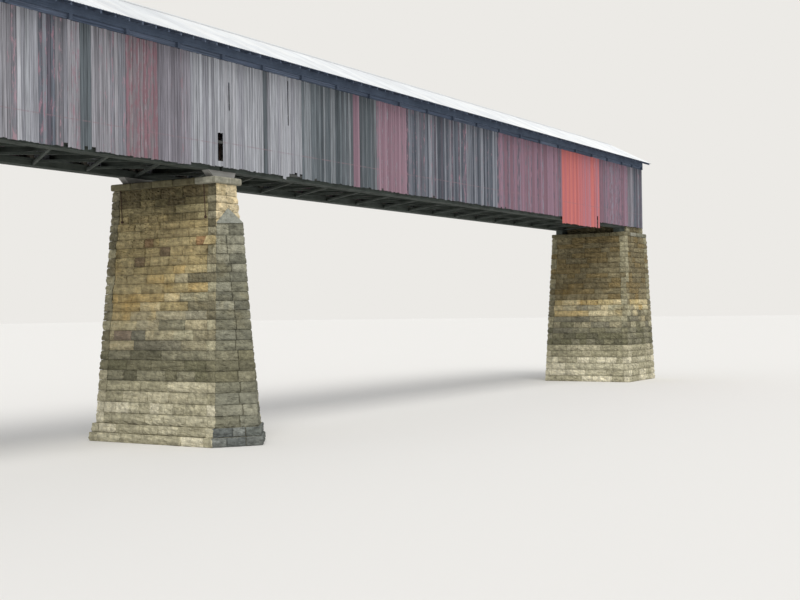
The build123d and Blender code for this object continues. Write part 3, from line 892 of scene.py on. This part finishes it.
def lay_siding(span_name, side_name, side, stretches, joints, holes):
    """Boards of one side and span. side is -1 upstream and 1 downstream."""
    node = f"siding_{side_name}_{span_name}"
    whole = whole_bmesh("bare", "paint")
    low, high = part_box(node)
    edges = board_edges(low.x, high.x, joints)
    for x in zip(edges, edges[1:]):
        middle = (x[0] + x[1]) / 2
        colours = board_colours(stretch_at(stretches, middle))
        face = side * (siding_y - uniform(0.0, board_set_in))
        foot = siding_foot + uniform(0.0, ragged_foot)
        head = siding_head - uniform(0.0, ragged_head)
        if random.random() < rotten_share:
            foot += uniform(*rotten_foot)
        if side < 0:
            foot = near_foot(foot, middle)
        spans = [(foot, head)]
        for x_low, x_high, z_low, z_high in holes:
            if x_low < middle < x_high:
                spans = [(foot, z_low), (z_high, head)]
        for z in spans:
            if z[1] - z[0] > least_board:
                lay_board(whole, x, z, face, -side, colours)
    finish_piece(f"boards_{side_name}_{span_name}", whole, barn_boards, [node])


random.seed(21)
for side_name, side, *layout in (
    ("near", -1, near_stretches, near_joints, near_holes),
    ("far", 1, far_stretches, (), ()),
):
    for span_name in ("left", "right"):
        lay_siding(span_name, side_name, side, *layout)

# Portals: upright boards on two posts, like the siding, with clipped upper
# corners over the roadway and a boarded gable up to the roof.
portal_half = 0.24
portal_corner = 0.05
portal_head = 1.93
portal_crown = 1.952
portal_wall = 0.339
chord_inner = 0.254
chord_outer = 0.324
post_width = 0.02
post_rounding = 0.0015
post_greys = ("#6a6764", "#74706c")
portal_clearance = 0.0006
eave_y = 0.432
eave_z = 2.04
roof_pitch = radians(27.4)
roof_thickness = 0.006
portal_stretches = {-0.4: "mauve", -0.11: "slate_streaked", 0.05: "rose", 0.22: "mauve"}


def roof_under(y):
    """Height of the roof's underside."""
    return eave_z - roof_thickness / cos(roof_pitch) + (eave_y - abs(y)) * tan(roof_pitch)


def head_over(y):
    """Underside of the boards over the roadway."""
    inside = max(portal_half - abs(y), 0.0)
    return portal_head + (portal_crown - portal_head) * min(inside / portal_corner, 1.0)


def board_portal(side_name, side):
    whole = whole_bmesh("bare", "paint")
    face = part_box("gable_" + side_name)[1 if side > 0 else 0].x
    stops = (-portal_half, portal_corner - portal_half, 0.0, portal_half - portal_corner, portal_half)
    edges = board_edges(-portal_wall, portal_wall, stops)
    for y_low, y_high in zip(edges, edges[1:]):
        middle = (y_low + y_high) / 2
        colours = board_colours(stretch_at(portal_stretches, middle))
        board = cuboid()
        set_in = uniform(0.0, board_set_in)
        for v in board.verts:
            x = face - side * (set_in if v.co.y > 0.5 else board_thickness)
            y = y_high - board_gap / 2 if v.co.x > 0.5 else y_low + board_gap / 2
            foot = head_over(y) if abs(middle) < portal_half else deck_top
            v.co = Vector((x, y, roof_under(y) - portal_clearance if v.co.z > 0.5 else foot))
        join_in(whole, board, **colours)
    boards = finish_piece("portal_boards_" + side_name, whole, barn_boards)
    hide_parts("gable_" + side_name)


def set_posts(side_name, side):
    """The posts behind the jamb boards, from the roadway to the top chord."""
    whole = whole_bmesh("bare", "paint")
    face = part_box("gable_" + side_name)[1 if side > 0 else 0].x
    back = face - side * (board_thickness + post_width)
    for way in (-1, 1):
        foot = (back, way * chord_inner, deck_top)
        head = (back + side * post_width, way * chord_outer, portal_crown)
        post = cuboid(foot, head, post_rounding)
        join_in(whole, post, bare=mixed(post_greys, 0.05), paint=linear(post_greys[0])[:3] + (0.0,))
    posts = finish_piece("portal_posts_" + side_name, whole, barn_boards)
    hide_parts("portal_jambs_" + side_name)


random.seed(22)
for side_name, side in (("left", -1), ("right", 1)):
    board_portal(side_name, side)
    set_posts(side_name, side)

# Roadway: sawn planks across the stringers, grey and scuffed paler here and
# there, each laid with a narrow drying gap.
plank_pitch = 0.025
plank_gap = 0.0012
plank_short = 0.003
plank_worn = 0.0008
plank_rounding = 0.0006
plank_greys = ("#77736c", "#6c6863", "#827e77", "#635f5a")
scuff_grey = linear("#8c877f")[:3]
road_planks = board_finish("worn_deck_planks", "Y", False)

random.seed(23)
deck_low, deck_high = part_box("deck")
planks = whole_bmesh("bare", "paint")
count = round((deck_high.x - deck_low.x) / plank_pitch)
step = (deck_high.x - deck_low.x) / count
for k in range(count):
    short = uniform(0.0, plank_short)
    top = deck_high.z - uniform(0.0, plank_worn)
    shift = uniform(-short, short)
    start = deck_low.x + k * step + plank_gap / 2
    low = (start, deck_low.y + short + shift, deck_low.z)
    high = (start + step - plank_gap, deck_high.y - short + shift, top)
    bare = mixed(plank_greys, 0.1)
    scuffs = scuff_grey + (uniform(0.0, 0.2),)
    join_in(planks, cuboid(low, high, plank_rounding), bare=bare, paint=scuffs)
finish_piece("deck_boards", planks, road_planks, ["deck"])

# Roof: galvanised ribbed steel sheets, weathered to a bright dull grey, lapped
# in two rows a slope and nailed to rough boards on the rafters.
sheet_width = 0.08
ribs_a_sheet = 4
sheet_steel = 0.0005
lath_depth = 0.0032
rib_rise = 0.0018
lath_width = 0.026
lath_gap = 0.003
lath_length = (0.36, 0.6)
sheet_lap = 0.212
sheet_overlap = 0.014
sheet_dent = 0.0002
ridge_gap = 0.004
lap_clearance = 0.0001
lath_clearance = 0.0002
lath_end_gap = 0.0008
lath_inset = 0.002
zinc_greys = ("#dfe2e4", "#d9dcdf", "#e3e5e6")
# The roof boards, rafters and blocking are seen only in the eave's shade: their grey is painted lighter and
# blue, as skylight on the shaded wood, and so is the thin coat on them.
wood_greys_with_painted_skylight = ("#626d80", "#5a6578", "#6a7588")
painted_skylight_coat = linear("#717b8c")[:3] + (0.1,)
zinc_run_width = 1 / 45
zinc_run_length = 0.25
rust_spot = 1 / 22
rib_shape = ((0.0, 0), (0.36, 0), (0.44, 1), (0.56, 1), (0.64, 0))


def zinc_finish(name, colour=None):
    """Hot-dip zinc: pale and dull, with rain streaks down the slope and a little rust."""
    material, shader, add = new_finish(name)
    place = add("TexCoord").outputs["Object"]
    tint = colour or add("Attribute", attribute_name="tint")
    streak = grained(add, place, "X", zinc_run_length, zinc_run_width, 5.0, 0.6)
    shade = add("MapRange", [streak, 0.3, 0.7, 0.9, 1.05])
    base = add("VectorMath", {0: tint, "Scale": shade}, operation="SCALE")
    spots = add("TexNoise", {"Vector": place, "Scale": 1 / rust_spot, "Detail": 7.0, "Roughness": 0.7})
    rusty = add("MapRange", [spots, 0.63, 0.75, 0.0, 0.55])
    shown = add("Mix", {0: rusty, 6: base, 7: linear("#9a8371")}, data_type="RGBA")
    rough = add("MapRange", [streak, 0.3, 0.7, 0.42, 0.6])
    feed(shader, {"Base Color": shown, "Roughness": rough, "Metallic": 0.3})
    return material


zinc = zinc_finish("weathered_galvanised_steel")
ridge_zinc = zinc_finish("weathered_ridge_steel", linear("#dde0e2")[:3])
roof_boards = board_finish("sooty_roof_boards", "X", False)


def lay_sheets(side_name, side):
    low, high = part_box("roof_" + side_name)
    sheets = whole_bmesh()
    count = round((high.x - low.x) / sheet_width)
    step = (high.x - low.x) / count
    cuts = ribs_a_sheet * len(rib_shape)
    upper_lift = sheet_steel + lap_clearance
    rows = ((eave_y, sheet_lap, 0.0), (sheet_lap + sheet_overlap, ridge_gap, upper_lift))
    for y_low, y_high, over in rows:
        for k in range(count):
            sheet = bmesh.new()
            bmesh.ops.create_grid(sheet, x_segments=cuts, y_segments=3, size=0.5)
            start = low.x + k * step
            dent = Vector((k * 3.1, y_low * 9, side * 5))
            for v in sheet.verts:
                i = round((v.co.x + 0.5) * cuts)
                share, rib = rib_shape[i % len(rib_shape)]
                x = start + (i // len(rib_shape) + share) * step / ribs_a_sheet
                y = y_low + (y_high - y_low) * (v.co.y + 0.5)
                lift = lath_depth + over + rib * rib_rise + sheet_dent * noise.noise(v.co * 3 + dent)
                v.co = Vector((min(x, high.x), side * y, roof_under(y) + lift / cos(roof_pitch)))
            bmesh.ops.solidify(sheet, geom=sheet.faces[:], thickness=sheet_steel)
            join_in(sheets, sheet, tint=mixed(zinc_greys, 0.03))
    finish_piece("roof_sheets_" + side_name, sheets, zinc, ["roof_" + side_name])


def lay_laths(side_name, side):
    low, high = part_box("roof_" + side_name)
    laths = whole_bmesh("bare", "paint")
    slope = eave_y - lath_inset
    lines = round(slope / (lath_width + lath_gap))
    depth = (lath_depth - sheet_steel - lath_clearance) / cos(roof_pitch)
    for k in range(lines):
        y_out, y_in = slope - slope * k / lines, slope - slope * (k + 1) / lines + lath_gap
        x = low.x
        while x < high.x - 1e-6:
            length = uniform(*lath_length)
            end = high.x if high.x - x < 1.5 * length else x + length
            lath = cuboid()
            for v in lath.verts:
                y = y_in if v.co.y > 0.5 else y_out
                along = x + (end - x - lath_end_gap) * v.co.x
                v.co = Vector((along, side * y, roof_under(y) + depth * v.co.z))
            join_in(laths, lath, bare=mixed(wood_greys_with_painted_skylight, 0.1), paint=painted_skylight_coat)
            x = end
    finish_piece("roof_boards_" + side_name, laths, roof_boards)


random.seed(24)
long_sides = (("near", -1), ("far", 1))
for side_name, side in long_sides:
    lay_sheets(side_name, side)
    lay_laths(side_name, side)

# Rafters: three or four pairs to each tie beam, notched over the eave plates
# and meeting at the ridge. All are copies of the frame's pair at the middle.
tie_low, tie_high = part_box("tie_beams")
rafter_pitch = 0.0888
rafter_reach = 0.42
rafter_half = 0.005
pair_half = 0.02

random.seed(25)
pair = bmesh.new()
pair.from_mesh(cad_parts["rafters"].data)
bmesh.ops.remove_doubles(pair, verts=pair.verts, dist=1e-5)
others = [v for v in pair.verts if abs(v.co.x) > pair_half]
bmesh.ops.delete(pair, geom=others, context="VERTS")
rafters = whole_bmesh("bare", "paint")
count = round((tie_high.x - tie_low.x) / rafter_pitch)
for k in range(count + 1):
    one = pair.copy()
    x = tie_low.x + rafter_half + (tie_high.x - tie_low.x - 2 * rafter_half) * k / count
    bmesh.ops.translate(one, vec=(x, 0, 0), verts=one.verts)
    for v in one.verts:
        v.co.y = min(max(v.co.y, -rafter_reach), rafter_reach)
    # Painted skylight: the rafters are given the light blue grey of the shaded eave.
    join_in(rafters, one, bare=mixed(wood_greys_with_painted_skylight, 0.1), paint=painted_skylight_coat)
pair.free()
finish_piece("rafter_pairs", rafters, board_finish("sooty_rafters", "Y", False), ["rafters"])

# Blocking: short boards that close the slots between the tie beams, under the eave plate, to keep birds and
# driven rain out. Where the slots would show the dark inside, they show an even blue grey of painted
# skylight, as the rest of the eave.
blocking_face = 0.338
blocking_gap = 0.0005
blocking_greys_with_painted_skylight = ("#596477", "#525d70", "#616c7f")

for side_name, side in long_sides:
    whole = whole_bmesh("bare", "paint")
    sides = sorted({round(v.co.x, 4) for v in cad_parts["tie_beams"].data.vertices})
    for x_low, x_high in zip(sides[1::2], sides[2::2]):
        foot = (x_low + blocking_gap, side * (blocking_face - board_thickness), tie_low.z + blocking_gap)
        head = (x_high - blocking_gap, side * blocking_face, tie_high.z - blocking_gap)
        join_in(whole, cuboid(foot, head), bare=mixed(blocking_greys_with_painted_skylight, 0.1), paint=painted_skylight_coat)
    finish_piece("eave_blocking_" + side_name, whole, roof_boards)

# Truss and floor timbers: rough-sawn poplar and oak, browner inside, with long drying checks along the grain.
# The timbers under the roadway are dark, and painted darker still as shade under the bridge.
check_width = 0.004
check_length = 0.16
blotch_size = 1 / 9


def sawn_timber(name, axis, dark, light, check):
    material, shader, add = new_finish(name)
    place = add("TexCoord").outputs["Object"]
    fibres = grained(add, place, axis, check_width, check_length, 6.0, 0.65)
    blotch = add("TexNoise", {"Vector": place, "Scale": 1 / blotch_size, "Detail": 5.0, "Roughness": 0.6})
    both = add("Math", [fibres, blotch], operation="ADD")
    pick = add("MapRange", [both, 0.72, 1.3])
    wood = add("Mix", {0: pick, 6: linear(dark), 7: linear(light)}, data_type="RGBA")
    splits = add("MapRange", [fibres, 0.3, 0.36, 1.0, 0.0])
    checked = add("Mix", {0: splits, 6: wood, 7: linear(check)}, data_type="RGBA")
    bump = add("Bump", {"Strength": 0.6, "Distance": 0.0015, "Height": fibres})
    feed(shader, {"Base Color": checked, "Normal": bump, "Roughness": 0.9, "Specular IOR Level": 0.2})
    return material


def dress(material, *nodes):
    """Gives CAD nodes their finish."""
    for node in nodes:
        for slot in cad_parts[node].material_slots:
            slot.material = material


# Painted shade: the timbers under the roadway are made near black.
underside_greys_painted_shade = ("#2f3431", "#555c57", "#1a1d1b")
painted_shade_along = sawn_timber("sawn_timber_painted_shade_along", "X", *underside_greys_painted_shade)
painted_shade_across = sawn_timber("sawn_timber_painted_shade_across", "Y", *underside_greys_painted_shade)
dry_upright = sawn_timber("dry_sawn_timber_upright", "Z", "#43403b", "#625e56", "#262422")
dry_along = sawn_timber("dry_sawn_timber_along", "X", "#3a3b3b", "#545552", "#222322")
# The tie beams and eave plates show only in the eave's shade: their blue grey is painted skylight on the dark
# wood.
slate_along = sawn_timber("sooty_timber_along", "X", "#455061", "#606d81", "#2b313b")
slate_across = sawn_timber("sooty_timber_across", "Y", "#455061", "#626d80", "#2b313b")
silver_along = sawn_timber("silvered_timber", "X", "#8d8c88", "#aeadaa", "#55534f")
for side_name in ("near", "far"):
    for span_name in ("left", "right"):
        dress(painted_shade_along, f"lower_chord_{side_name}_{span_name}")
        dress(dry_upright, f"braces_{side_name}_{span_name}")
    dress(dry_along, "upper_chord_" + side_name, "nailers_" + side_name)
    dress(dry_upright, "angle_blocks_" + side_name)
dress(painted_shade_across, "floor_beams", "lower_laterals")
dress(slate_across, "tie_beams", "upper_laterals")
dress(slate_along, "eave_plates")
dress(silver_along, "pier_bolsters")
dress(painted_shade_along, "stringers", "bolsters_left", "bolsters_right")
dress(ridge_zinc, "ridge_cap")

# Ironwork: wrought rods and plates, rusted to a dull dark brown, paler where
# the scale has come off. The rust's grain is drawn coarse enough to show.
rust_grain = 0.004
iron, shader, add = new_finish("rusted_wrought_iron")
place = add("TexCoord").outputs["Object"]
scale = add("TexNoise", {"Vector": place, "Scale": 1 / rust_grain, "Detail": 6.0, "Roughness": 0.7})
pick = add("MapRange", [scale, 0.35, 0.65])
rusted = add("Mix", {0: pick, 6: linear("#2b2320"), 7: linear("#5a3e30")}, data_type="RGBA")
bump = add("Bump", {"Strength": 0.4, "Distance": 0.0005, "Height": scale})
feed(shader, {"Base Color": rusted, "Normal": bump, "Roughness": 0.8, "Metallic": 0.4})
dress(iron, "iron_rods_near", "iron_rods_far", "anchor_rods")
